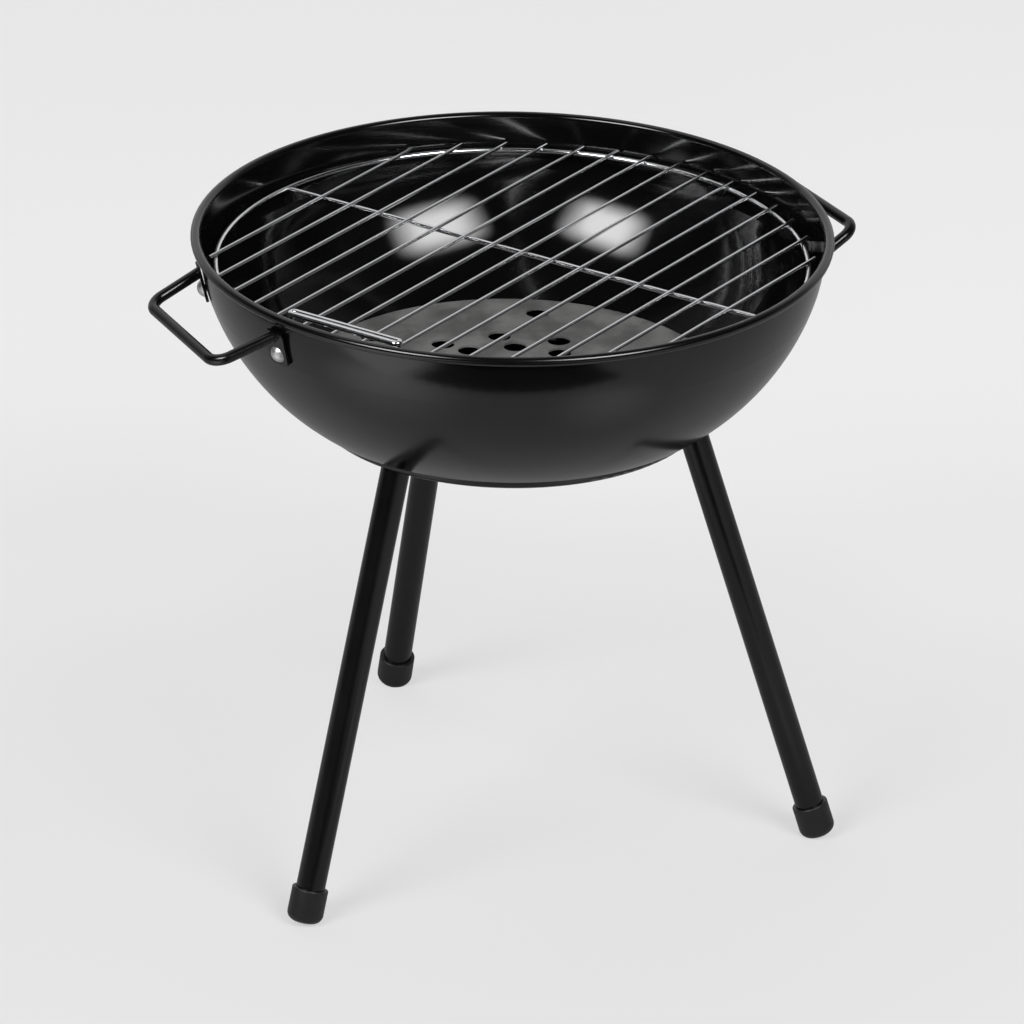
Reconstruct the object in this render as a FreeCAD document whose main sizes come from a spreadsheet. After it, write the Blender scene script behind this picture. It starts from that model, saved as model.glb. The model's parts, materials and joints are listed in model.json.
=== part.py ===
import FreeCAD, Part
import math
import os
import Sketcher

# A round charcoal grill on three tube legs: a pressed bowl with a rolled rim, a lift-out wire
# cooking grate, a perforated charcoal plate, two bent-rod side handles and capped tripod legs.
# Origin on the floor at the middle of the footprint, +Z up, handles along +X and -X, millimetres.

doc = FreeCAD.newDocument("charcoal_grill")
V = FreeCAD.Vector

# Driving dimensions, in millimetres and degrees

SIZES = {
    "rim_diameter": 350.0,
    "rim_bead": 5.4,
    "rim_height": 350.0,
    "bowl_wall": 1.0,
    "shoulder_radius": 90.0,
    "shoulder_sweep": 18.8,
    "belly_radius": 134.0,
    "base_depth": 103.0,
    "base_step": 8.0,
    "ledge_width": 7.1,
    "base_draft": 1.5,
    "base_corner": 3.0,
    "ledge_corner": 1.4,
    "seat_gap": 0.3,
    "plate_rise": 15.0,
    "plate_thickness": 1.2,
    "plate_lip": 4.0,
    "plate_bend": 2.4,
    "plate_hole": 13.0,
    "inner_ring_radius": 22.0,
    "inner_ring_holes": 6,
    "inner_ring_phase": 0.0,
    "second_ring_radius": 50.0,
    "second_ring_holes": 12,
    "second_ring_phase": 65.7,
    "third_ring_radius": 64.6,
    "third_ring_holes": 12,
    "third_ring_phase": 74.0,
    "outer_ring_inset": 20.3,
    "outer_ring_holes": 6,
    "outer_ring_phase": 59.8,
    "grate_ring_inset": 13.8,
    "grate_ring_wire": 2.8,
    "grate_bar_wire": 2.1,
    "grate_bar_overhang": 4.5,
    "grate_cross_wire": 2.6,
    "grate_bar_count": 15,
    "grate_edge_gap": 27.1,
    "grate_bar_azimuth": 34.2,
    "cross_wire_offset": 13.5,
    "lift_length": 70.0,
    "lift_width": 4.0,
    "lift_rise": 15.0,
    "lift_wire": 3.0,
    "lift_post": 2.6,
    "left_handle_azimuth": 184.5,
    "right_handle_azimuth": 7.5,
    "left_handle_droop": 20.0,
    "right_handle_droop": -25.0,
    "handle_rod": 6.2,
    "left_handle_reach": 36.0,
    "right_handle_reach": 38.5,
    "handle_half_bar": 43.6,
    "handle_half_spread": 48.4,
    "handle_bend": 10.0,
    "left_handle_depth": 11.0,
    "right_handle_depth": 32.7,
    "bracket_width": 14.0,
    "bracket_above": 14.4,
    "bracket_below": 6.6,
    "bracket_thickness": 1.6,
    "bracket_corner": 3.0,
    "handle_bolt_depth": 21.5,
    "handle_bolt": 4.0,
    "handle_bolt_head": 9.5,
    "handle_bolt_crown": 3.0,
    "handle_bolt_past_ring": 2.0,
    "handle_nut_flats": 7.0,
    "handle_nut_height": 3.2,
    "bolt_play": 0.1,
    "leg_diameter": 16.0,
    "leg_wall": 1.2,
    "leg_top_inset": 9.2,
    "leg_foot_reach": 2.2,
    "plug_length": 16.0,
    "plug_play": 0.1,
    "leg_bolt": 6.0,
    "leg_bolt_grip": 10.0,
    "leg_bolt_head": 10.5,
    "leg_bolt_head_height": 4.2,
    "leg_washer": 13.0,
    "leg_washer_thickness": 1.2,
    "cap_diameter": 20.0,
    "cap_height": 20.0,
    "cap_floor": 5.0,
    "cap_bottom": 0.8,
    "cap_edge": 5.0,
    "cap_lip_edge": 0.8,
    "cap_play": 0.1,
    "axis_setback": 5.0,
}
LEG_AZIMUTHS = {"front_left": 210.0, "front_right": 330.0, "rear": 90.0}

sheet = doc.addObject("Spreadsheet::Sheet", "Dims")
for row, (alias, size) in enumerate(SIZES.items(), 1):
    sheet.set(f"A{row}", alias)
    sheet.set(f"B{row}", str(size))
    sheet.setAlias(f"B{row}", alias)
doc.recompute()


def dim(alias):
    return float(sheet.get(alias))


def polar(radius, azimuth, height=0.0):
    turn = math.radians(azimuth)
    return V(radius * math.cos(turn), radius * math.sin(turn), height)


# Helpers for sketches, primitives and booleans

def plane_of(body, role):
    return [plane for plane in body.Origin.OriginFeatures if plane.Role == role][0]


def new_sketch(body, name, role):
    sketch = body.newObject("Sketcher::SketchObject", name)
    sketch.AttachmentSupport = (plane_of(body, role), [""])
    sketch.MapMode = "FlatFace"
    return sketch


def bind_radius(sketch, geometry, expression):
    index = sketch.addConstraint(Sketcher.Constraint("Radius", geometry, sketch.Geometry[geometry].Radius))
    sketch.setExpression(f"Constraints[{index}]", expression)


def draw(sketch, pieces):
    """Add a chain of lines and arcs and tie the ends that meet; returns their indices."""
    indices = [sketch.addGeometry(piece, False) for piece in pieces]
    for here, there in zip(indices, indices[1:] + indices[:1]):
        for end in (1, 2):
            for start in (1, 2):
                gap = sketch.getPoint(here, end) - sketch.getPoint(there, start)
                if gap.Length < 1e-5 and here != there:
                    sketch.addConstraint(Sketcher.Constraint("Coincident", here, end, there, start))
    return indices


def outline(corners, closed=True):
    """Lines through (x, y, radius) corners, with an arc of that radius at each rounded corner."""
    points = [V(x, y, 0) for x, y, radius in corners]
    count = len(points)
    arrive, leave, arcs = [], [], []
    for place, (x, y, radius) in enumerate(corners):
        here = points[place]
        end_of_path = not closed and place in (0, count - 1)
        if radius == 0 or end_of_path:
            arrive.append(here)
            leave.append(here)
            arcs.append(None)
            continue
        back = (points[place - 1] - here).normalize()
        ahead = (points[(place + 1) % count] - here).normalize()
        half = back.getAngle(ahead) / 2
        middle = here + (back + ahead).normalize() * (radius / math.sin(half) - radius)
        arrive.append(here + back * (radius / math.tan(half)))
        leave.append(here + ahead * (radius / math.tan(half)))
        arcs.append(Part.Arc(arrive[-1], middle, leave[-1]))
    pieces = []
    for place in range(count):
        if arcs[place]:
            pieces.append(arcs[place])
        last = not closed and place == count - 1
        following = (place + 1) % count
        if not last and (arrive[following] - leave[place]).Length > 1e-6:
            pieces.append(Part.LineSegment(leave[place], arrive[following]))
    return pieces


def revolve(body, sketch, name):
    turned = body.newObject("PartDesign::Revolution", name)
    turned.Profile = sketch
    turned.ReferenceAxis = (sketch, ["V_Axis"])
    turned.Angle = 360
    body.Tip = turned
    return turned


def cylinder(name, radius, height, placement):
    """A round bar; its height is an expression, or a length worked out from other sizes."""
    piece = doc.addObject("Part::Cylinder", name)
    piece.setExpression("Radius", radius)
    if isinstance(height, str):
        piece.setExpression("Height", height)
    else:
        piece.Height = height
    piece.Placement = placement
    return piece


def torus(name, ring_radius, wire_radius, placement):
    piece = doc.addObject("Part::Torus", name)
    piece.setExpression("Radius1", ring_radius)
    piece.setExpression("Radius2", wire_radius)
    piece.Placement = placement
    return piece


def slab(name, side, depth, placement):
    """A square cutting block centred on its placement's origin and filling -Z from it."""
    piece = doc.addObject("Part::Box", name)
    piece.Length = piece.Width = side
    piece.Height = depth
    piece.Placement = placement.multiply(FreeCAD.Placement(V(-side / 2, -side / 2, -depth), FreeCAD.Rotation()))
    return piece


def cut(name, base, tool):
    result = doc.addObject("Part::Cut", name)
    result.Base = base
    result.Tool = tool
    return result


def fuse(name, pieces):
    result = doc.addObject("Part::MultiFuse", name)
    result.Shapes = pieces
    return result


def group(name, pieces):
    result = doc.addObject("Part::Compound", name)
    result.Links = pieces
    return result


nodes = []


def node(piece, label):
    piece.Label = label
    nodes.append(piece)
    return piece


# Bowl wall: a shoulder arc under the rim runs tangent into a larger belly arc

RIM_Z = dim("rim_height")
WALL = dim("bowl_wall")
BEAD = dim("rim_bead") / 2
BEAD_RADIUS = dim("rim_diameter") / 2 - BEAD
MOUTH = dim("rim_diameter") / 2 - dim("rim_bead") + WALL
SHOULDER = dim("shoulder_radius")
BELLY = dim("belly_radius")
SWEEP = math.radians(dim("shoulder_sweep"))
SHOULDER_CENTRE = V(MOUTH - SHOULDER, RIM_Z, 0)
MEETING = V(math.cos(SWEEP), -math.sin(SWEEP), 0)
BELLY_CENTRE = SHOULDER_CENTRE + MEETING * (SHOULDER - BELLY)
LEDGE_DEPTH = dim("base_depth") - dim("base_step")


def wall_radius(depth, inset=0.0):
    """Radius of the wall's outer face, or of a face inset from it, at a depth below the rim."""
    on_shoulder = depth <= (SHOULDER - inset) * math.sin(SWEEP)
    centre = SHOULDER_CENTRE if on_shoulder else BELLY_CENTRE
    arc = (SHOULDER if on_shoulder else BELLY) - inset
    return centre.x + math.sqrt(arc ** 2 - (RIM_Z - depth - centre.y) ** 2)


def wall_arcs(inset, top, bottom):
    """The wall's two arcs, inset from its outer face, between two points of that face."""
    def on(centre, arc, fraction, start, end):
        turn = start + (end - start) * fraction
        return centre + V(math.cos(turn), math.sin(turn), 0) * arc

    shoulder = SHOULDER - inset
    belly = BELLY - inset
    meeting = SHOULDER_CENTRE + MEETING * shoulder
    top_turn = math.atan2(top.y - SHOULDER_CENTRE.y, top.x - SHOULDER_CENTRE.x)
    bottom_turn = math.atan2(bottom.y - BELLY_CENTRE.y, bottom.x - BELLY_CENTRE.x)
    shoulder_middle = on(SHOULDER_CENTRE, shoulder, 0.5, top_turn, -SWEEP)
    belly_middle = on(BELLY_CENTRE, belly, 0.5, -SWEEP, bottom_turn)
    return Part.Arc(top, shoulder_middle, meeting), Part.Arc(meeting, belly_middle, bottom)


# The base is pressed in from the ledge that ends the wall, and the legs stand inside its edge

BASE_RADIUS = wall_radius(LEDGE_DEPTH) - dim("ledge_width") - dim("base_draft")
LEG_TOP_RADIUS = BASE_RADIUS - dim("leg_top_inset")
LEG_FOOT_RADIUS = dim("rim_diameter") / 2 + dim("leg_foot_reach")


def rolled_edge_meets_wall():
    """The point below the rolled edge where its outside runs into the wall's outer face."""
    span = BEAD_RADIUS - SHOULDER_CENTRE.x
    along = (SHOULDER ** 2 - BEAD ** 2 + span ** 2) / (2 * span)
    return V(SHOULDER_CENTRE.x + along, RIM_Z - math.sqrt(SHOULDER ** 2 - along ** 2), 0)


def make_bowl():
    body = doc.addObject("PartDesign::Body", "BowlShell")
    sketch = new_sketch(body, "BowlProfile", "XZ_Plane")
    floor_z = RIM_Z - dim("base_depth")
    ledge_z = RIM_Z - LEDGE_DEPTH
    top_of_base = BASE_RADIUS + dim("base_draft")
    outer_end = V(wall_radius(LEDGE_DEPTH), ledge_z, 0)
    inner_end = V(wall_radius(LEDGE_DEPTH - WALL, WALL), ledge_z + WALL, 0)
    outside = rolled_edge_meets_wall()
    inside = V(BEAD_RADIUS - BEAD, RIM_Z, 0)
    outer_base = [
        (0, floor_z, 0),
        (BASE_RADIUS, floor_z, dim("base_corner")),
        (top_of_base, ledge_z, dim("ledge_corner")),
        (outer_end.x, outer_end.y, 0),
    ]
    inner_base = [
        (inner_end.x, inner_end.y, 0),
        (top_of_base - WALL, ledge_z + WALL, dim("ledge_corner") + WALL),
        (BASE_RADIUS - WALL, floor_z + WALL, dim("base_corner") - WALL),
        (0, floor_z + WALL, 0),
    ]
    outer_shoulder, outer_belly = wall_arcs(0.0, outside, outer_end)
    inner_shoulder, inner_belly = wall_arcs(WALL, inside, inner_end)
    bead_side = V(BEAD_RADIUS + BEAD, RIM_Z, 0)
    pieces = outline(outer_base, closed=False)
    wall_start = len(pieces)
    pieces += [outer_belly, outer_shoulder, Part.Arc(outside, bead_side, inside), inner_shoulder, inner_belly]
    pieces += outline(inner_base, closed=False)
    pieces.append(Part.LineSegment(V(0, floor_z + WALL, 0), V(0, floor_z, 0)))
    indices = draw(sketch, pieces)
    outer_belly_index, outer_shoulder_index, bead_index, inner_shoulder_index, inner_belly_index = indices[
        wall_start:wall_start + 5
    ]
    bind_radius(sketch, outer_belly_index, "Dims.belly_radius")
    bind_radius(sketch, outer_shoulder_index, "Dims.shoulder_radius")
    bind_radius(sketch, bead_index, "Dims.rim_bead / 2")
    bind_radius(sketch, inner_shoulder_index, "Dims.shoulder_radius - Dims.bowl_wall")
    bind_radius(sketch, inner_belly_index, "Dims.belly_radius - Dims.bowl_wall")
    revolve(body, sketch, "BowlTurned")
    doc.recompute()

    holes = new_sketch(body, "LegBoltHole", "XY_Plane")
    at = polar(LEG_TOP_RADIUS, LEG_AZIMUTHS["rear"])
    hole = holes.addGeometry(Part.Circle(at, V(0, 0, 1), dim("leg_bolt") / 2), False)
    bind_radius(holes, hole, "(Dims.leg_bolt + Dims.bolt_play) / 2")
    pocket = body.newObject("PartDesign::Pocket", "LegBoltPocket")
    pocket.Profile = holes
    pocket.Type = "ThroughAll"
    pocket.Midplane = True
    body.Tip = pocket
    doc.recompute()
    pattern = body.newObject("PartDesign::PolarPattern", "LegBoltPockets")
    pattern.Originals = [pocket]
    pattern.Axis = (holes, ["N_Axis"])
    pattern.Angle = 360
    pattern.Occurrences = len(LEG_AZIMUTHS)
    body.Tip = pattern
    doc.recompute()
    return body


# Side handles: each bent rod is welded to two small brackets that are bolted through the wall,
# the left rod over its bolts and the right one under them

BOLT_TILT = math.asin(dim("handle_bolt_depth") / SHOULDER)
BOLT_WALL_RADIUS = wall_radius(dim("handle_bolt_depth"))
RING_RADIUS = dim("rim_diameter") / 2 - dim("grate_ring_inset")
HANDLES = {"left": ("front", "rear"), "right": ("rear", "front")}
BRACKET_ROLL = {"left": 0, "right": 180}


def bracket_azimuths(side):
    """Azimuths of the two brackets of a handle, in the order of HANDLES."""
    spread = math.degrees(math.asin(dim("handle_half_spread") / BOLT_WALL_RADIUS))
    centre = dim(f"{side}_handle_azimuth")
    return {HANDLES[side][0]: centre + spread, HANDLES[side][1]: centre - spread}


def bolt_frame(azimuth):
    """Frame on the wall's outer face at a handle bolt: X round the bowl, Y up the wall, Z outward."""
    radial = polar(1, azimuth)
    outward = radial * math.cos(BOLT_TILT) - V(0, 0, math.sin(BOLT_TILT))
    upward = radial * math.sin(BOLT_TILT) + V(0, 0, math.cos(BOLT_TILT))
    turn = FreeCAD.Rotation(upward.cross(outward), upward, outward, "ZXY")
    return FreeCAD.Placement(polar(BOLT_WALL_RADIUS, azimuth, RIM_Z - dim("handle_bolt_depth")), turn)


def along_z(frame, distance):
    return frame.multiply(FreeCAD.Placement(V(0, 0, distance), FreeCAD.Rotation()))


def make_bracket(label, frame):
    body = doc.addObject("PartDesign::Body", f"{label}_body")
    sketch = new_sketch(body, f"{label}_outline", "XY_Plane")
    half = dim("bracket_width") / 2
    corner = dim("bracket_corner")
    corners = [
        (-half, -dim("bracket_below"), corner),
        (half, -dim("bracket_below"), corner),
        (half, dim("bracket_above"), corner),
        (-half, dim("bracket_above"), corner),
    ]
    draw(sketch, outline(corners))
    hole = sketch.addGeometry(Part.Circle(V(0, 0, 0), V(0, 0, 1), dim("handle_bolt") / 2), False)
    bind_radius(sketch, hole, "(Dims.handle_bolt + Dims.bolt_play) / 2")
    pad = body.newObject("PartDesign::Pad", f"{label}_plate")
    pad.Profile = sketch
    pad.setExpression("Length", "Dims.bracket_thickness")
    body.Tip = pad
    body.Placement = along_z(frame, dim("seat_gap"))
    return node(body, label)


def make_handle(side):
    """A bent rod: half of it is a pipe from the middle of the grip, mirrored, then trimmed to its brackets."""
    body = doc.addObject("PartDesign::Body", f"{side}_rod")
    half_bar = dim("handle_half_bar")
    spread = dim("handle_half_spread")
    reach = dim(f"{side}_handle_reach")
    run_in = dim("handle_rod")
    lean = (spread - half_bar) / reach
    spine = new_sketch(body, f"{side}_spine", "XY_Plane")
    path = [(0, reach, 0), (half_bar, reach, dim("handle_bend")), (spread + lean * run_in, -run_in, 0)]
    pieces = outline(path, closed=False)
    draw(spine, pieces)
    section = new_sketch(body, f"{side}_section", "YZ_Plane")
    circle = section.addGeometry(Part.Circle(V(reach, 0, 0), V(0, 0, 1), dim("handle_rod") / 2), False)
    bind_radius(section, circle, "Dims.handle_rod / 2")
    doc.recompute()
    pipe = body.newObject("PartDesign::AdditivePipe", f"{side}_half_rod")
    pipe.Profile = section
    pipe.Spine = (spine, [f"Edge{place + 1}" for place in range(len(pieces))])
    body.Tip = pipe
    doc.recompute()
    whole = body.newObject("PartDesign::Mirrored", f"{side}_whole_rod")
    whole.Originals = [pipe]
    whole.MirrorPlane = (plane_of(body, "YZ_Plane"), [""])
    body.Tip = whole
    azimuth = dim(f"{side}_handle_azimuth")
    depth = dim(f"{side}_handle_depth")
    chord = math.sqrt(wall_radius(depth) ** 2 - spread ** 2)
    droop = FreeCAD.Rotation(V(1, 0, 0), -dim(f"{side}_handle_droop"))
    turn = FreeCAD.Rotation(V(0, 0, 1), azimuth - 90)
    body.Placement = FreeCAD.Placement(polar(chord, azimuth, RIM_Z - depth), turn.multiply(droop))
    trims = []
    for end, at in bracket_azimuths(side).items():
        face = along_z(bolt_frame(at), dim("seat_gap") + dim("bracket_thickness"))
        trims.append(slab(f"{side}_{end}_trim", 8 * dim("handle_rod"), 4 * dim("handle_rod"), face))
    return node(cut(f"{side}_trimmed_rod", body, fuse(f"{side}_trims", trims)), f"{side}_handle")


def make_handle_bolt(name, frame):
    """A round-headed bolt through bracket, wall and nut; its inner end carries the grate's ring."""
    body = doc.addObject("PartDesign::Body", name)
    sketch = new_sketch(body, f"{name}_profile", "XZ_Plane")
    head = dim("handle_bolt_head") / 2
    shank = dim("handle_bolt") / 2
    crown = dim("handle_bolt_crown")
    seat = dim("seat_gap") + dim("bracket_thickness")
    end_radius = RING_RADIUS - dim("grate_ring_wire") / 2 - dim("handle_bolt_past_ring")
    end = -(BOLT_WALL_RADIUS - end_radius) / math.cos(BOLT_TILT)
    dome = (head ** 2 + crown ** 2) / (2 * crown)
    shoulder_turn = math.asin(head / dome) / 2
    halfway = V(dome * math.sin(shoulder_turn), seat + crown - dome + dome * math.cos(shoulder_turn), 0)
    pieces = [
        Part.Arc(V(0, seat + crown, 0), halfway, V(head, seat, 0)),
        Part.LineSegment(V(head, seat, 0), V(shank, seat, 0)),
        Part.LineSegment(V(shank, seat, 0), V(shank, end, 0)),
        Part.LineSegment(V(shank, end, 0), V(0, end, 0)),
        Part.LineSegment(V(0, end, 0), V(0, seat + crown, 0)),
    ]
    draw(sketch, pieces)
    revolve(body, sketch, f"{name}_turned")
    body.Placement = frame
    return body


def make_nut(name, frame, flats, bore, height):
    """A hexagon nut whose seat is at the frame's origin and whose body runs along +Z."""
    body = doc.addObject("PartDesign::Body", name)
    sketch = new_sketch(body, f"{name}_outline", "XY_Plane")
    across_corners = dim(flats) / math.sqrt(3)
    corners = [polar(across_corners, 60 * side) for side in range(6)]
    draw(sketch, outline([(corner.x, corner.y, 0) for corner in corners]))
    hole = sketch.addGeometry(Part.Circle(V(0, 0, 0), V(0, 0, 1), dim(bore) / 2), False)
    bind_radius(sketch, hole, f"(Dims.{bore} + Dims.bolt_play) / 2")
    pad = body.newObject("PartDesign::Pad", f"{name}_hexagon")
    pad.Profile = sketch
    pad.setExpression("Length", f"Dims.{height}")
    body.Tip = pad
    body.Placement = frame
    return body


def make_handles(bowl):
    bolts, nuts, holes = [], [], []
    half_turn = FreeCAD.Placement(V(0, 0, 0), FreeCAD.Rotation(V(1, 0, 0), 180))
    for side in HANDLES:
        roll = FreeCAD.Placement(V(0, 0, 0), FreeCAD.Rotation(V(0, 0, 1), BRACKET_ROLL[side]))
        for end, azimuth in bracket_azimuths(side).items():
            frame = bolt_frame(azimuth)
            name = f"{side}_{end}"
            make_bracket(f"{name}_bracket", frame.multiply(roll))
            bolts.append(make_handle_bolt(f"{name}_bolt", frame))
            inner_face = along_z(frame, -WALL - dim("seat_gap"))
            nuts.append(
                make_nut(
                    f"{name}_nut",
                    inner_face.multiply(half_turn),
                    "handle_nut_flats",
                    "handle_bolt",
                    "handle_nut_height",
                )
            )
            through = along_z(frame, -4 * WALL)
            holes.append(
                cylinder(
                    f"{name}_hole",
                    "(Dims.handle_bolt + Dims.bolt_play) / 2",
                    "8 * Dims.bowl_wall",
                    through,
                )
            )
        make_handle(side)
    node(group("HandleBolts", bolts), "handle_bolts")
    node(group("HandleNuts", nuts), "handle_nuts")
    node(cut("BowlWithHoles", bowl, fuse("HandleHoles", holes)), "fire_bowl")


# Charcoal plate: a dished disc with rings of air holes, its turned-down lip resting in the bowl

def make_charcoal_plate():
    body = doc.addObject("PartDesign::Body", "CharcoalPlate")
    thickness = dim("plate_thickness")
    bend = dim("plate_bend")
    plate_depth = dim("base_depth") - dim("plate_rise")
    lip_depth = plate_depth + dim("plate_lip")
    edge = wall_radius(lip_depth, WALL) - dim("seat_gap")
    top = RIM_Z - plate_depth
    bottom = RIM_Z - lip_depth
    sketch = new_sketch(body, "PlateProfile", "XZ_Plane")
    corners = [
        (0, top - thickness, 0),
        (edge - thickness, top - thickness, bend - thickness),
        (edge - thickness, bottom, 0),
        (edge, bottom, 0),
        (edge, top, bend),
        (0, top, 0),
    ]
    draw(sketch, outline(corners))
    revolve(body, sketch, "PlateTurned")
    doc.recompute()
    ring_radii = {ring: dim(f"{ring}_ring_radius") for ring in ("inner", "second", "third")}
    ring_radii["outer"] = edge - dim("outer_ring_inset")
    for ring, radius in ring_radii.items():
        holes = new_sketch(body, f"{ring}_ring_hole", "XY_Plane")
        at = polar(radius, dim(f"{ring}_ring_phase"))
        hole = holes.addGeometry(Part.Circle(at, V(0, 0, 1), dim("plate_hole") / 2), False)
        bind_radius(holes, hole, "Dims.plate_hole / 2")
        pocket = body.newObject("PartDesign::Pocket", f"{ring}_ring_pocket")
        pocket.Profile = holes
        pocket.Type = "ThroughAll"
        pocket.Midplane = True
        body.Tip = pocket
        doc.recompute()
        pattern = body.newObject("PartDesign::PolarPattern", f"{ring}_ring")
        pattern.Originals = [pocket]
        pattern.Axis = (holes, ["N_Axis"])
        pattern.Angle = 360
        pattern.Occurrences = int(dim(f"{ring}_ring_holes"))
        body.Tip = pattern
        doc.recompute()
    node(body, "charcoal_plate")


# Cooking grate: bars across a ring, one cross wire under the bars, and a raised loop to lift it by

GRATE_TURN = FreeCAD.Rotation(V(0, 0, 1), dim("grate_bar_azimuth"))
BOLT_RISE = (BOLT_WALL_RADIUS - RING_RADIUS) * math.tan(BOLT_TILT)
BOLT_TOP = RIM_Z - dim("handle_bolt_depth") + BOLT_RISE + dim("handle_bolt") / 2 / math.cos(BOLT_TILT)
RING_Z = BOLT_TOP + dim("seat_gap") + dim("grate_ring_wire") / 2
BAR_Z = RING_Z + dim("grate_ring_wire") / 2 + dim("grate_bar_wire") / 2
BAR_REACH = RING_RADIUS + dim("grate_bar_overhang")
ALONG_BARS = FreeCAD.Rotation(V(0, 0, 1), V(1, 0, 0))
ACROSS_BARS = FreeCAD.Rotation(V(0, 0, 1), V(0, 1, 0))


def on_grate(along, across, height, turn):
    """A place on the grate, whose own X runs along the bars."""
    return FreeCAD.Placement(GRATE_TURN.multVec(V(along, across, 0)) + V(0, 0, height), GRATE_TURN.multiply(turn))


def make_grate():
    flat = on_grate(0, 0, RING_Z, FreeCAD.Rotation())
    across_ring = "Dims.rim_diameter / 2 - Dims.grate_ring_inset"
    ring = torus("GrateRing", across_ring, "Dims.grate_ring_wire / 2", flat)
    node(ring, "grate_ring")

    bars = []
    count = int(dim("grate_bar_count"))
    outermost = RING_RADIUS - dim("grate_edge_gap")
    for place in range(count):
        across = outermost * (2 * place / (count - 1) - 1)
        half = math.sqrt(BAR_REACH ** 2 - (abs(across) + dim("grate_bar_wire") / 2) ** 2)
        start = on_grate(-half, across, BAR_Z, ALONG_BARS)
        bars.append(cylinder(f"Bar{place + 1}", "Dims.grate_bar_wire / 2", 2 * half, start))
    node(group("GrateBars", bars), "grate_bars")

    cross_z = BAR_Z - dim("grate_bar_wire") / 2 - dim("grate_cross_wire") / 2
    inside_ring = RING_RADIUS - dim("grate_ring_wire") / 2
    half = math.sqrt(inside_ring ** 2 - (dim("cross_wire_offset") + dim("grate_cross_wire") / 2) ** 2)
    start = on_grate(dim("cross_wire_offset"), -half, cross_z, ACROSS_BARS)
    node(cylinder("CrossWire", "Dims.grate_cross_wire / 2", 2 * half, start), "grate_cross_wire")


def make_lift_handle():
    """A long closed loop of wire held up by two posts that stand on the ring."""
    half_width = dim("lift_width") / 2
    half_length = dim("lift_length") / 2
    post_across = half_length
    post_along = -math.sqrt(RING_RADIUS ** 2 - post_across ** 2)
    ring_top = RING_Z + dim("grate_ring_wire") / 2
    loop_z = ring_top + dim("lift_rise")
    straight = half_length - half_width
    wire = "Dims.lift_wire / 2"
    pieces = []
    for side in (-1, 1):
        run = on_grate(post_along + side * half_width, -straight, loop_z, ACROSS_BARS)
        pieces.append(cylinder(f"LiftRun{side + 2}", wire, "Dims.lift_length - Dims.lift_width", run))
        quarter = FreeCAD.Rotation(V(0, 0, 1), 0 if side > 0 else 180)
        bend = torus(
            f"LiftBend{side + 2}",
            "Dims.lift_width / 2",
            wire,
            on_grate(post_along, side * straight, loop_z, quarter),
        )
        bend.Angle3 = 180
        pieces.append(bend)
        post = on_grate(post_along, side * post_across, ring_top, FreeCAD.Rotation())
        pieces.append(cylinder(f"LiftPost{side + 2}", "Dims.lift_post / 2", "Dims.lift_rise", post))
    node(fuse("LiftLoop", pieces), "grate_lift_handle")


# Legs: mitred tubes bolted up under the bowl's base through threaded plugs, with moulded caps below

LEG_TOP_Z = RIM_Z - dim("base_depth")
LEG_LEAN = math.atan2(LEG_FOOT_RADIUS - LEG_TOP_RADIUS, LEG_TOP_Z)


def leg_frame(azimuth, distance=0.0):
    """Frame on a leg's axis: origin where the axis meets the floor, plus a distance up it, Z up it."""
    upward = V(0, 0, 1) * math.cos(LEG_LEAN) - polar(1, azimuth) * math.sin(LEG_LEAN)
    foot = polar(LEG_FOOT_RADIUS, azimuth)
    return FreeCAD.Placement(foot + upward * distance, FreeCAD.Rotation(V(0, 0, 1), upward))


def under_base(name, azimuth):
    """A block over the underside of the base, to mitre what stands against it."""
    side = 4 * dim("leg_diameter")
    flip = FreeCAD.Rotation(V(1, 0, 0), 180)
    return slab(name, side, side, FreeCAD.Placement(polar(LEG_TOP_RADIUS, azimuth, LEG_TOP_Z), flip))


def make_leg(name, azimuth):
    axis_length = LEG_TOP_Z / math.cos(LEG_LEAN)
    start = leg_frame(azimuth, dim("cap_floor"))
    length = axis_length - dim("cap_floor") + dim("leg_diameter")
    tube = cylinder(f"{name}_tube", "Dims.leg_diameter / 2", length, start)
    bore = cylinder(f"{name}_bore", "Dims.leg_diameter / 2 - Dims.leg_wall", length, start)
    hollow = cut(f"{name}_hollow", tube, bore)
    node(cut(f"{name}_mitred", hollow, under_base(f"{name}_mitre", azimuth)), f"{name}_leg")

    plug_start = leg_frame(azimuth, axis_length - dim("plug_length"))
    plug = cylinder(
        f"{name}_plug_rod",
        "(Dims.leg_diameter - Dims.plug_play) / 2 - Dims.leg_wall",
        "Dims.plug_length + Dims.leg_diameter",
        plug_start,
    )
    thread = cylinder(
        f"{name}_thread",
        "(Dims.leg_bolt + Dims.bolt_play) / 2",
        "Dims.leg_bolt_grip + Dims.leg_diameter",
        FreeCAD.Placement(
            polar(LEG_TOP_RADIUS, azimuth, LEG_TOP_Z - dim("leg_bolt_grip") - dim("bolt_play")),
            FreeCAD.Rotation(),
        ),
    )
    waste = fuse(f"{name}_plug_waste", [thread, under_base(f"{name}_plug_mitre", azimuth)])
    node(cut(f"{name}_plug_mitred", plug, waste), f"{name}_leg_plug")


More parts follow.
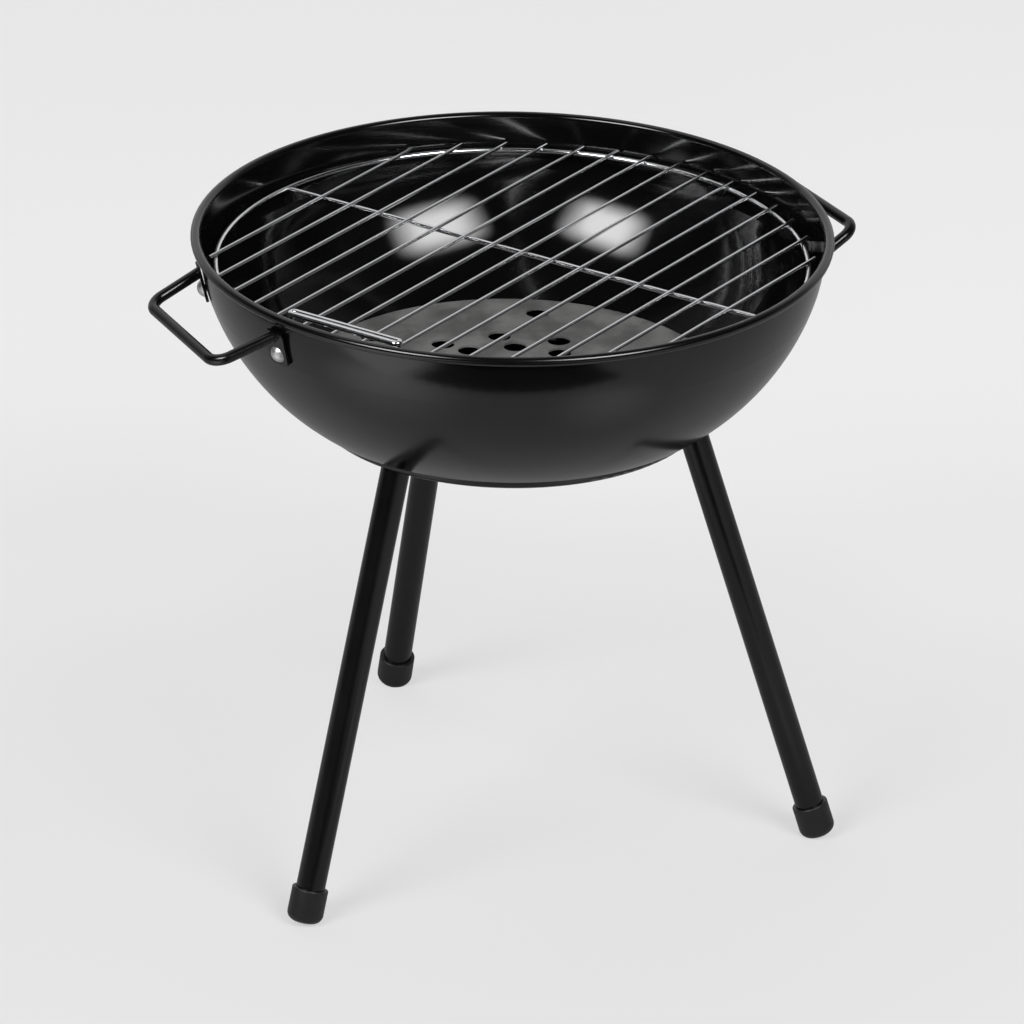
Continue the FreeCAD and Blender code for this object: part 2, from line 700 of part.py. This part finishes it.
def make_foot_cap(name, azimuth):
    body = doc.addObject("PartDesign::Body", f"{name}_cap")
    sketch = new_sketch(body, f"{name}_cap_profile", "XZ_Plane")
    outside = dim("cap_diameter") / 2
    bore = (dim("leg_diameter") + dim("cap_play")) / 2
    corners = [
        (0, dim("cap_bottom"), 0),
        (outside, dim("cap_bottom"), dim("cap_edge")),
        (outside, dim("cap_height"), dim("cap_lip_edge")),
        (bore, dim("cap_height"), 0),
        (bore, dim("cap_floor"), 0),
        (0, dim("cap_floor"), 0),
    ]
    draw(sketch, outline(corners))
    revolve(body, sketch, f"{name}_cap_turned")
    body.Placement = leg_frame(azimuth)
    side = 4 * dim("cap_diameter")
    floor = slab(
        f"{name}_floor",
        side,
        side,
        FreeCAD.Placement(polar(LEG_FOOT_RADIUS, azimuth), FreeCAD.Rotation()),
    )
    node(cut(f"{name}_cap_on_floor", body, floor), f"{name}_foot_cap")


def make_leg_fasteners():
    bolts, washers = [], []
    bowl_floor = LEG_TOP_Z + WALL
    for name, azimuth in LEG_AZIMUTHS.items():
        def at(height):
            return FreeCAD.Placement(polar(LEG_TOP_RADIUS, azimuth, height), FreeCAD.Rotation())

        washer = cylinder(
            f"{name}_washer_disc",
            "Dims.leg_washer / 2",
            "Dims.leg_washer_thickness",
            at(bowl_floor),
        )
        hole = cylinder(
            f"{name}_washer_hole",
            "(Dims.leg_bolt + Dims.bolt_play) / 2",
            "Dims.leg_washer_thickness",
            at(bowl_floor),
        )
        washers.append(cut(f"{name}_washer", washer, hole))
        under_head = bowl_floor + dim("leg_washer_thickness")
        shank = cylinder(
            f"{name}_shank",
            "Dims.leg_bolt / 2",
            "Dims.leg_bolt_grip + Dims.bowl_wall + Dims.leg_washer_thickness",
            at(LEG_TOP_Z - dim("leg_bolt_grip")),
        )
        head = cylinder(f"{name}_head", "Dims.leg_bolt_head / 2", "Dims.leg_bolt_head_height", at(under_head))
        bolts.append(fuse(f"{name}_leg_bolt", [shank, head]))
    node(group("LegBolts", bolts), "leg_bolts")
    node(group("LegWashers", washers), "leg_washers")


# Assembly

make_handles(make_bowl())
make_charcoal_plate()
make_grate()
make_lift_handle()
for leg_name, leg_azimuth in LEG_AZIMUTHS.items():
    make_leg(leg_name, leg_azimuth)
    make_foot_cap(leg_name, leg_azimuth)
make_leg_fasteners()
doc.recompute()

# Every object has to have computed before anything is written

for item in doc.Objects:
    if "Invalid" in item.State or "Error" in item.State:
        raise RuntimeError(f"{item.Label} failed: {item.State}")
os.makedirs("parts", exist_ok=True)
for piece in nodes:
    if piece.Shape.isNull() or not piece.Shape.isValid():
        raise RuntimeError(f"{piece.Label} has no valid shape")

# The pieces are set out about the bowl's axis, which stands in front of the footprint's middle

to_middle = V(0, -dim("axis_setback"), 0)
for piece in nodes:
    piece.Shape.translated(to_middle).exportStep(f"parts/{piece.Label}.step")
    print(f"{piece.Label}: {len(piece.Shape.Solids)} solids, {piece.Shape.Volume:.1f} mm3")
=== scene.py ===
import bmesh
import bpy
import json
import math
from mathutils import Matrix, Vector

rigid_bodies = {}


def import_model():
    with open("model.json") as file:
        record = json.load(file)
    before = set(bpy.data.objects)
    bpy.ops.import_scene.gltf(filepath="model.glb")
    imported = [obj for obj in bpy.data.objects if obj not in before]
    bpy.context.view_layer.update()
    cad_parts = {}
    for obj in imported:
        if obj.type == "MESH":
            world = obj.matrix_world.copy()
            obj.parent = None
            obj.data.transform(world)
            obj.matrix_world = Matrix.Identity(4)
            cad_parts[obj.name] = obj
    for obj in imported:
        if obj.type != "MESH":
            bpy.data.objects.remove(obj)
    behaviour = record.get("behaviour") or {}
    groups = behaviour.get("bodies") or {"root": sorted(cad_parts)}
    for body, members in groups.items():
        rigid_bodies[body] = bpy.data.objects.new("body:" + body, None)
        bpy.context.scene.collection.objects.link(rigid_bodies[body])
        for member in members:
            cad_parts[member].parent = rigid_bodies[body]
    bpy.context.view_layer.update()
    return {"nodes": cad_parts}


# A small round charcoal grill: black enamelled bowl, grey charcoal plate, chromed wire grate,
# painted rod handles and tube legs, moulded foot caps, zinc-plated fasteners. Metres, +Z up.

for leftover in list(bpy.data.objects):
    bpy.data.objects.remove(leftover)
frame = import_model()
nodes = frame["nodes"]

# Places taken from the solids

BOWL_AXIS = Vector((0, -0.005, 0))
RIM_CENTRE = BOWL_AXIS + Vector((0, 0, 0.35))
# the bolts are bright outside this distance from the bowl's axis
BOLT_WALL = 0.167
BOLT_FADE = 0.002
# the inside of the bowl is less polished above the upper of these heights
POLISH_ENDS = (0.33, 0.341)
LEGS = ("front_left", "front_right", "rear")


# Shader sums

class Tone:
    """A shader value that takes part in Python sums."""

    def __init__(self, finish, socket):
        self.finish = finish
        self.socket = socket

    def sum_of(self, operation, first, second):
        return self.finish.node("ShaderNodeMath", {"operation": operation}, {0: first, 1: second})

    def __add__(self, other):
        return self.sum_of("ADD", self, other)

    def __radd__(self, other):
        return self.sum_of("ADD", other, self)

    def __sub__(self, other):
        return self.sum_of("SUBTRACT", self, other)

    def __rsub__(self, other):
        return self.sum_of("SUBTRACT", other, self)

    def __mul__(self, other):
        return self.sum_of("MULTIPLY", self, other)

    def __rmul__(self, other):
        return self.sum_of("MULTIPLY", other, self)


class Finish:
    """A finish while it is mixed: a material and the nodes in it."""

    def __init__(self, tree, output_kind="ShaderNodeOutputMaterial"):
        self.tree = tree
        self.tree.nodes.clear()
        self.output_kind = output_kind

    def node(self, kind, settings, sockets, result=0):
        """Adds a node, sets it up, gives its sockets their values or links, and returns one result."""
        made = self.tree.nodes.new(kind)
        for name, setting in settings.items():
            setattr(made, name, setting)
        for name, value in sockets.items():
            if isinstance(value, Tone):
                self.tree.links.new(value.socket, made.inputs[name])
            else:
                made.inputs[name].default_value = value
        return Tone(self, made.outputs[result])

    def place(self):
        """Where a point lies on the piece, in metres."""
        return self.node("ShaderNodeTexCoord", {}, {}, "Object")

    def stretched(self, scale):
        """The place, scaled to draw a pattern out along a piece."""
        return self.node("ShaderNodeMapping", {}, {"Vector": self.place(), "Scale": scale})

    def vector(self, operation, first, second, result=0):
        """One step of vector maths."""
        return self.node("ShaderNodeVectorMath", {"operation": operation}, {0: first, 1: second}, result)

    def grain(self, scale, detail=2.0, where=None, roughness=0.5):
        """Even speckle from 0 to 1, with so many grains to the metre."""
        sockets = {"Vector": where or self.place(), "Scale": scale, "Detail": detail, "Roughness": roughness}
        return self.node("ShaderNodeTexNoise", {}, sockets)

    def between(self, value, low, high):
        """0 up to low, 1 from high, and a smooth climb in between."""
        settings = {"interpolation_type": "SMOOTHSTEP"}
        return self.node("ShaderNodeMapRange", settings, {"Value": value, "From Min": low, "From Max": high})

    def tint(self, share, plain, other):
        """A colour that goes from plain to other with the share."""
        sockets = {"Factor": share, 6: (*plain, 1), 7: (*other, 1)}
        return self.node("ShaderNodeMix", {"data_type": "RGBA"}, sockets, 2)

    def relief(self, height, depth):
        """A bump that stands so many metres high."""
        return self.node("ShaderNodeBump", {}, {"Height": height, "Distance": depth, "Strength": 1.0})

    def end(self, kind, sockets):
        """The output node, fed by this shader."""
        shader = self.node(kind, {}, sockets)
        output = self.tree.nodes.new(self.output_kind)
        self.tree.links.new(shader.socket, output.inputs["Surface"])


def new_finish(name):
    material = bpy.data.materials.new(name)
    material.use_nodes = True
    return material, Finish(material.node_tree)


def coat_nodes(material, *names):
    """Gives CAD nodes a finish in place of the plain colour they came with."""
    for name in names:
        for slot in nodes[name].material_slots:
            slot.material = material


# Finishes

def from_bowl_axis(finish):
    """The way from the bowl's axis out to a point, level."""
    flat = finish.vector("MULTIPLY", finish.place(), (1, 1, 0))
    return finish.vector("SUBTRACT", flat, BOWL_AXIS)


def bowl_enamel():
    """Black vitreous enamel: mirror-smooth inside, softer outside and near the rim, faintly rippled."""
    material, enamel = new_finish("bowl_black_enamel")
    ripple = enamel.grain(70, 1.0)
    peel = enamel.grain(420, 2.0)
    mottle = enamel.grain(24, 4.0)
    normal = enamel.node("ShaderNodeNewGeometry", {}, {}, "Normal")
    outward = enamel.node("ShaderNodeVectorMath", {"operation": "NORMALIZE"}, {0: from_bowl_axis(enamel)})
    facing = enamel.vector("DOT_PRODUCT", outward, normal, "Value")
    outside = enamel.between(facing, 0.0, 0.2)
    height = enamel.node("ShaderNodeSeparateXYZ", {}, {0: enamel.place()}, "Z")
    soft = enamel.between(height, *POLISH_ENDS)
    enamel.end("ShaderNodeBsdfPrincipled", {
        "Base Color": enamel.tint(mottle, (0.0015, 0.0015, 0.0017), (0.0035, 0.0035, 0.0037)),
        "Roughness": 0.06 + 0.09 * outside + 0.04 * soft * (1 - outside) + 0.03 * mottle,
        "IOR": 1.5,
        "Normal": enamel.relief(ripple * 0.8 + peel * 0.12, 0.00003),
    })
    return material


def plate_enamel():
    """The charcoal plate's satin grey enamel, finely speckled and a little cloudy."""
    material, enamel = new_finish("plate_grey_enamel")
    cloud = enamel.between(enamel.grain(45, 5.0, roughness=0.65), 0.35, 0.68)
    speckle = enamel.grain(1500, 2.0)
    ripple = enamel.grain(60, 1.0)
    patches = cloud * 0.7 + speckle * 0.3
    enamel.end("ShaderNodeBsdfPrincipled", {
        "Base Color": enamel.tint(patches, (0.08, 0.08, 0.079), (0.21, 0.21, 0.206)),
        "Roughness": 0.42 + 0.14 * cloud,
        "IOR": 1.45,
        "Normal": enamel.relief(ripple * 0.6 + speckle * 0.06, 0.0001),
    })
    return material


def grate_chrome():
    """Bright chrome plate over drawn wire."""
    material, chrome = new_finish("grate_bright_chrome")
    cloud = chrome.grain(180, 3.0)
    pits = chrome.grain(900, 2.0)
    chrome.end("ShaderNodeBsdfPrincipled", {
        "Base Color": chrome.tint(cloud, (0.72, 0.73, 0.75), (0.86, 0.86, 0.87)),
        "Metallic": 1.0,
        "Roughness": 0.09 + 0.1 * cloud,
        "Normal": chrome.relief(pits, 0.00003),
    })
    return material


def handle_paint():
    """Semi-gloss black paint on the bent rods and their plates."""
    material, paint = new_finish("handle_black_paint")
    cloud = paint.grain(90, 3.0)
    peel = paint.grain(700, 2.0)
    paint.end("ShaderNodeBsdfPrincipled", {
        "Base Color": paint.tint(cloud, (0.002, 0.002, 0.0022), (0.0045, 0.0045, 0.0047)),
        "Roughness": 0.16 + 0.08 * cloud,
        "IOR": 1.45,
        "Normal": paint.relief(peel, 0.00004),
    })
    return material


def leg_paint():
    """Gloss black stove paint on drawn tube, with faint lengthwise drawing marks."""
    material, paint = new_finish("leg_black_paint")
    cloud = paint.grain(60, 3.0)
    drawn = paint.grain(1.0, 2.0, paint.stretched((500, 500, 8)))
    paint.end("ShaderNodeBsdfPrincipled", {
        "Base Color": paint.tint(cloud, (0.0018, 0.0018, 0.002), (0.004, 0.004, 0.0042)),
        "Roughness": 0.17 + 0.08 * cloud,
        "IOR": 1.45,
        "Normal": paint.relief(drawn, 0.00003),
    })
    return material


def plug_steel():
    """Plain turned steel, ringed by the tool."""
    material, steel = new_finish("plug_turned_steel")
    rings = steel.grain(1.0, 2.0, steel.stretched((40, 40, 2500)))
    steel.end("ShaderNodeBsdfPrincipled", {
        "Base Color": steel.tint(rings, (0.45, 0.45, 0.46), (0.6, 0.6, 0.61)),
        "Metallic": 1.0,
        "Roughness": 0.3 + 0.15 * rings,
        "Normal": steel.relief(rings, 0.00002),
    })
    return material


def cap_plastic():
    """Satin black moulded plastic with a fine mould grain."""
    material, plastic = new_finish("cap_black_plastic")
    grain = plastic.grain(2600, 2.0)
    cloud = plastic.grain(120, 3.0)
    plastic.end("ShaderNodeBsdfPrincipled", {
        "Base Color": plastic.tint(cloud, (0.004, 0.004, 0.004), (0.008, 0.008, 0.008)),
        "Roughness": 0.36 + 0.12 * cloud,
        "Normal": plastic.relief(grain, 0.00003),
    })
    return material


def fastener_zinc():
    """Zinc plate, faintly blue and cloudy: bright outside the bowl, dark inside it."""
    material, zinc = new_finish("fastener_zinc_plate")
    spangle = zinc.grain(500, 3.0)
    reach = zinc.node("ShaderNodeVectorMath", {"operation": "LENGTH"}, {0: from_bowl_axis(zinc)}, "Value")
    outside = zinc.between(reach, BOLT_WALL - BOLT_FADE, BOLT_WALL)
    bright = (0.65 + 0.35 * spangle) * outside
    zinc.end("ShaderNodeBsdfPrincipled", {
        "Base Color": zinc.tint(bright, (0.03, 0.03, 0.031), (0.7, 0.7, 0.71)),
        "Metallic": 1.0,
        "Roughness": 0.34 + 0.2 * spangle,
        "Normal": zinc.relief(spangle, 0.00003),
    })
    return material


chrome = grate_chrome()
paint_black = handle_paint()
zinc_bright = fastener_zinc()
coat_nodes(bowl_enamel(), "fire_bowl")
coat_nodes(plate_enamel(), "charcoal_plate")
coat_nodes(chrome, "grate_ring", "grate_bars", "grate_cross_wire", "grate_lift_handle")
coat_nodes(paint_black, "left_handle", "right_handle")
for bracket in ("left_front", "left_rear", "right_front", "right_rear"):
    coat_nodes(paint_black, bracket + "_bracket")
coat_nodes(zinc_bright, "handle_bolts", "handle_nuts", "leg_bolts", "leg_washers")
black_tube = leg_paint()
turned_plug = plug_steel()
moulded_cap = cap_plastic()
for leg in LEGS:
    coat_nodes(black_tube, leg + "_leg")
    coat_nodes(turned_plug, leg + "_leg_plug")
    coat_nodes(moulded_cap, leg + "_foot_cap")


# Studio

VIEW_TURN = math.radians(21.794)
VIEW_RISE = math.radians(22.77)
VIEW_DISTANCE = 4.4356
VIEW_YAW = math.radians(0.02)
VIEW_PITCH = math.radians(-1.947)
VIEW_ROLL = math.radians(0.695)
LENS = 286.76
BEHIND = Vector((math.sin(VIEW_TURN), math.cos(VIEW_TURN), 0))
ASIDE = Vector((math.cos(VIEW_TURN), -math.sin(VIEW_TURN), 0))
FLOOR_REACH = 12
FLOOR_GREY = 0.815
# the share of the floor's tone that takes the grill's shadow
FLOOR_SHADE = 0.3
STUDIO_DIM = 0.01
SWEEP_IN_GLOSS = 0.36
# the middle of the painted soft shadow behind the grill, and how far it reaches
PAINTED_SHADOW_MIDDLE = BEHIND * 0.28 + ASIDE * 0.03
PAINTED_SHADOW_REACH = 0.25
# a white panel that the chrome mirrors: up, behind and to the left
WHITE_PANEL = ASIDE * -0.29 + BEHIND * 0.44 + Vector((0, 0, 0.85))
# a softbox's cloth dims from the first share of its side to the second
CLOTH_FADE = (0.13, 0.54)
CARD_HEIGHT = 0.001
# painted pools of lamp light on the floor that the bowl mirrors: out, across, spread, strength
PAINTED_LIGHT_POOLS = ((0.36, -0.34, 0.28, 1.25), (0.3, 0.22, 0.17, 0.6))


def camera_and_glossy(finish):
    """1 for what the camera sees, straight or in a shiny or clear surface, and 0 for other light."""
    seen = finish.node("ShaderNodeLightPath", {}, {}, "Is Camera Ray")
    shiny = finish.node("ShaderNodeLightPath", {}, {}, "Is Glossy Ray")
    clear = finish.node("ShaderNodeLightPath", {}, {}, "Is Transmission Ray")
    either = finish.node("ShaderNodeMath", {"operation": "MAXIMUM"}, {0: seen, 1: shiny})
    return finish.node("ShaderNodeMath", {"operation": "MAXIMUM"}, {0: either, 1: clear})


def stage_sheet(name, corners, height):
    """A flat four-cornered sheet that belongs to the studio."""
    sheet = bmesh.new()
    bmesh.ops.contextual_create(sheet, geom=[sheet.verts.new((*corner, height)) for corner in corners])
    mesh = bpy.data.meshes.new(name)
    sheet.to_mesh(mesh)
    sheet.free()
    laid = bpy.data.objects.new(name, mesh)
    bpy.context.scene.collection.objects.link(laid)
    return laid


def lay_floor():
    """A pale sweep that keeps a soft part of the grill's shadow, with a painted shadow behind the grill and
    painted light and shade that only reflections see.
    """
    signs = ((-1, -1), (1, -1), (1, 1), (-1, 1))
    corners = [(FLOOR_REACH * across, FLOOR_REACH * along) for across, along in signs]
    floor = stage_sheet("floor", corners, 0)
    material, paper = new_finish("floor_pale_paper")
    fibre = paper.grain(300, 2.0)
    grey = (FLOOR_GREY,) * 3
    paler = (FLOOR_GREY + 0.01,) * 3
    matt = paper.node("ShaderNodeBsdfDiffuse", {}, {"Color": paper.tint(fibre, grey, paler)})
    shiny = paper.node("ShaderNodeLightPath", {}, {}, "Is Glossy Ray")
    away = paper.node("ShaderNodeVectorMath", {"operation": "LENGTH"}, {0: paper.place()}, "Value")
    back = paper.vector("DOT_PRODUCT", paper.place(), BEHIND, "Value")
    side = paper.vector("DOT_PRODUCT", paper.place(), ASIDE, "Value")
    painted_shadow_gap = paper.vector("DISTANCE", paper.place(), PAINTED_SHADOW_MIDDLE, "Value")
    # the floor's glow is graded brighter behind and to one side, less a painted shadow behind the grill
    lift = 0.92 + 0.22 * paper.between(back, -0.05, 0.32) + 0.02 * paper.between(side, 0.05, 0.3)
    lift = lift - 0.1 * (1 - paper.between(painted_shadow_gap, 0, PAINTED_SHADOW_REACH))
    # what reflections see: painted shade near the grill and painted pools of lamp light
    mirrored = SWEEP_IN_GLOSS * (0.65 + 0.35 * paper.between(away, 0.1, 0.6))
    for out, across, spread, strength in PAINTED_LIGHT_POOLS:
        gap = paper.vector("DISTANCE", paper.place(), ASIDE * across - BEHIND * out, "Value")
        mirrored = mirrored + strength * (1 - paper.between(gap, 0, spread))
    lift = lift * (1 - shiny) + mirrored * shiny
    glow = paper.node("ShaderNodeEmission", {}, {"Color": (*grey, 1), "Strength": lift})
    share = camera_and_glossy(paper) * (1 - FLOOR_SHADE)
    paper.end("ShaderNodeMixShader", {0: share, 1: matt, 2: glow})
    floor.data.materials.append(material)


def lay_reflector(name, near, far, left, right, brightness):
    """A card in front of the grill that only its shiny surfaces see, placed as the camera looks."""
    corners = [(ASIDE * across - BEHIND * out).xy for out, across in
               ((near, left), (near, right), (far, right), (far, left))]
    card = stage_sheet(name, corners, CARD_HEIGHT)
    card.visible_camera = False
    card.visible_diffuse = False
    card.visible_shadow = False
    material, paper = new_finish(name)
    weave = paper.grain(200, 2.0)
    tone = paper.tint(weave, (1, 1, 1), (0.96, 0.96, 0.96))
    paper.end("ShaderNodeEmission", {"Color": tone, "Strength": brightness})
    card.data.materials.append(material)


def light_world():
    """A dim room with a pale backdrop behind the grill and a white panel above and left of it."""
    world = bpy.data.worlds.new("studio")
    bpy.context.scene.world = world
    world.use_nodes = True
    room = Finish(world.node_tree, "ShaderNodeOutputWorld")
    seen = room.node("ShaderNodeLightPath", {}, {}, "Is Camera Ray")
    sight = room.node("ShaderNodeTexCoord", {}, {}, "Generated")
    depth = room.vector("DOT_PRODUCT", sight, BEHIND, "Value")
    nearness = room.vector("DOT_PRODUCT", sight, WHITE_PANEL, "Value")
    backdrop = 0.15 * room.between(depth, 0.1, 0.35) + 0.7 * room.between(depth, 0.45, 0.78)
    backdrop = backdrop + 1.5 * room.between(nearness, 0.93, 0.985)
    pale = room.node("ShaderNodeMath", {"operation": "MAXIMUM"}, {0: seen, 1: backdrop})
    colour = room.tint(pale, (STUDIO_DIM,) * 3, (FLOOR_GREY,) * 3)
    room.end("ShaderNodeBackground", {"Color": colour, "Strength": 1.0})


def set_camera():
    """The photograph's own view: a long lens that looks down at the rim."""
    ahead = Vector((0, math.cos(VIEW_RISE), -math.sin(VIEW_RISE)))
    place = ahead * -VIEW_DISTANCE
    right = Vector((1, 0, 0))
    above = right.cross(ahead)
    ahead, right = (
        math.cos(VIEW_YAW) * ahead + math.sin(VIEW_YAW) * right,
        math.cos(VIEW_YAW) * right - math.sin(VIEW_YAW) * ahead,
    )
    ahead, above = (
        math.cos(VIEW_PITCH) * ahead + math.sin(VIEW_PITCH) * above,
        math.cos(VIEW_PITCH) * above - math.sin(VIEW_PITCH) * ahead,
    )
    right, above = (
        math.cos(VIEW_ROLL) * right + math.sin(VIEW_ROLL) * above,
        math.cos(VIEW_ROLL) * above - math.sin(VIEW_ROLL) * right,
    )
    stance = Matrix((right, above, -ahead)).transposed().to_4x4()
    turn = Matrix.Rotation(-VIEW_TURN, 4, "Z")
    lens = bpy.data.cameras.new("camera")
    lens.lens = LENS
    lens.clip_end = 100
    camera = bpy.data.objects.new("camera", lens)
    bpy.context.scene.collection.objects.link(camera)
    camera.matrix_world = Matrix.Translation(RIM_CENTRE) @ turn @ Matrix.Translation(place) @ stance
    bpy.context.scene.camera = camera


def hang_softbox(name, azimuth, rise, distance, width, height, brightness):
    """A softbox aimed at the bowl, dimmer to its edges. Azimuth is to the right of the camera's side."""
    turn = math.radians(azimuth) - VIEW_TURN
    lift = math.radians(rise)
    away = Vector((math.sin(turn) * math.cos(lift), -math.cos(turn) * math.cos(lift), math.sin(lift)))
    lamp = bpy.data.lights.new(name, "AREA")
    lamp.shape = "RECTANGLE"
    lamp.size = width
    lamp.size_y = height
    lamp.energy = brightness * width * height * math.pi
    lamp.use_nodes = True
    cloth = Finish(lamp.node_tree, "ShaderNodeOutputLight")
    spot = cloth.node("ShaderNodeNewGeometry", {}, {}, "Parametric")
    from_middle = cloth.vector("SUBTRACT", spot, (0.5, 0.5, 0))
    across = cloth.node("ShaderNodeSeparateXYZ", {}, {0: from_middle}, "X")
    along = cloth.node("ShaderNodeSeparateXYZ", {}, {0: from_middle}, "Y")
    across = across * across
    along = along * along
    square = across * across + along * along
    off = cloth.node("ShaderNodeMath", {"operation": "POWER"}, {0: square, 1: 0.25})
    cloth.end("ShaderNodeEmission", {"Strength": 1 - cloth.between(off, *CLOTH_FADE)})
    softbox = bpy.data.objects.new(name, lamp)
    bpy.context.scene.collection.objects.link(softbox)
    softbox.location = RIM_CENTRE + away * distance
    softbox.rotation_euler = away.to_track_quat("Z", "Y").to_euler()


lay_floor()
light_world()
set_camera()
hang_softbox("key_softbox", azimuth=-43.7, rise=37, distance=3, width=1.95, height=1.3, brightness=17.5)
hang_softbox("fill_softbox", azimuth=36.3, rise=40.3, distance=3, width=2.1, height=1.4, brightness=16.5)
lay_reflector("dark_flag", near=0.46, far=4, left=-0.3, right=0.36, brightness=0.01)
lay_reflector("white_bounce", near=0.4, far=1.6, left=-1.4, right=-0.35, brightness=1.5)
bpy.context.scene.view_settings.view_transform = "Standard"
